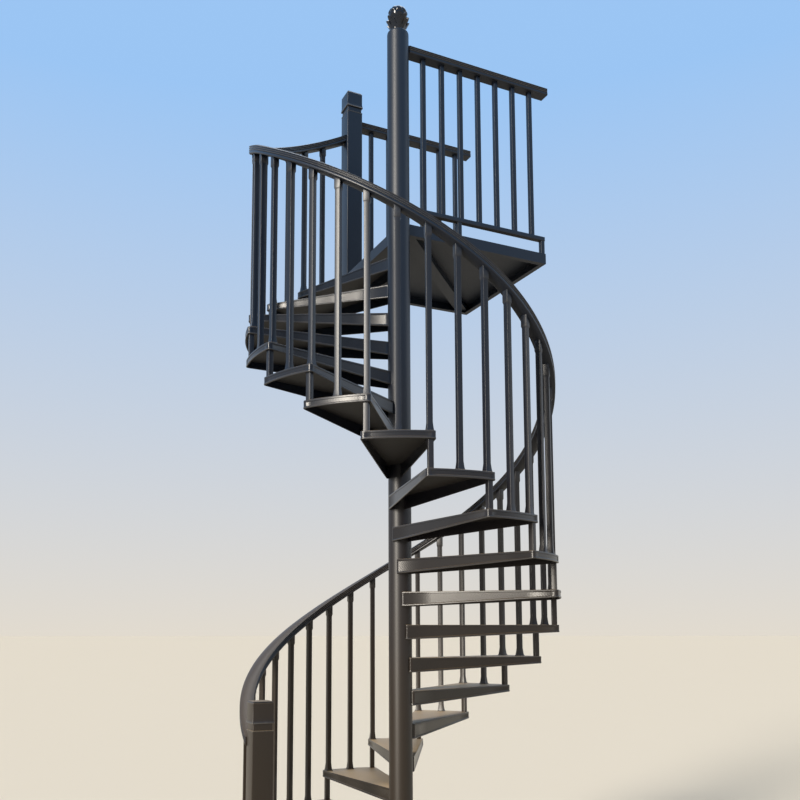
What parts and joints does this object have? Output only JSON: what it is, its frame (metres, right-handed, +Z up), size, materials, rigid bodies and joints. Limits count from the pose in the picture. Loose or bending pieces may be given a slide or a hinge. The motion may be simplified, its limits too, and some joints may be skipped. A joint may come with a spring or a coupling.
{
  "type": "spiral staircase",
  "caption": "Spiral stair with hollow wedge treads round a plain column, square bars, a moulded helical handrail, and a guarded square landing.",
  "frame": {"origin": "on the column's axis, at the underside of the floor flange", "axes": "+Z up along the column, -Y to the front, where the picture was taken from, +X to the right; it climbs clockwise seen from above"},
  "size_m": [1.6828, 1.9971, 5.022],
  "materials": {
    "column": "satin",
    "finial": "satin",
    "treads": "satin",
    "handrail": "satin",
    "balusters": "satin",
    "newels": "satin",
    "landing": "satin"
  },
  "bodies": {
    "root": {"base_flange": "column", "column": "column", "column_cap": "finial", "finial": "finial", "tread_01": "treads", "tread_02": "treads", "tread_03": "treads", "tread_04": "treads", "tread_05": "treads", "tread_06": "treads", "tread_07": "treads", "tread_08": "treads", "tread_09": "treads", "tread_10": "treads", "tread_11": "treads", "tread_12": "treads", "tread_13": "treads", "tread_14": "treads", "tread_15": "treads", "tread_16": "treads", "tread_17": "treads", "tread_18": "treads", "tread_19": "treads", "tread_20": "treads", "tread_21": "treads", "tread_22": "treads", "handrail_1": "handrail", "handrail_2": "handrail", "handrail_3": "handrail", "handrail_4": "handrail", "handrail_5": "handrail", "balusters_1": "balusters", "balusters_2": "balusters", "balusters_3": "balusters", "balusters_4": "balusters", "balusters_5": "balusters", "balusters_6": "balusters", "balusters_7": "balusters", "start_newel": "newels", "top_newel": "newels", "landing_plate": "landing", "landing_frame": "landing", "front_guard": "balusters", "back_guard": "balusters"}
  },
  "joints": []
}
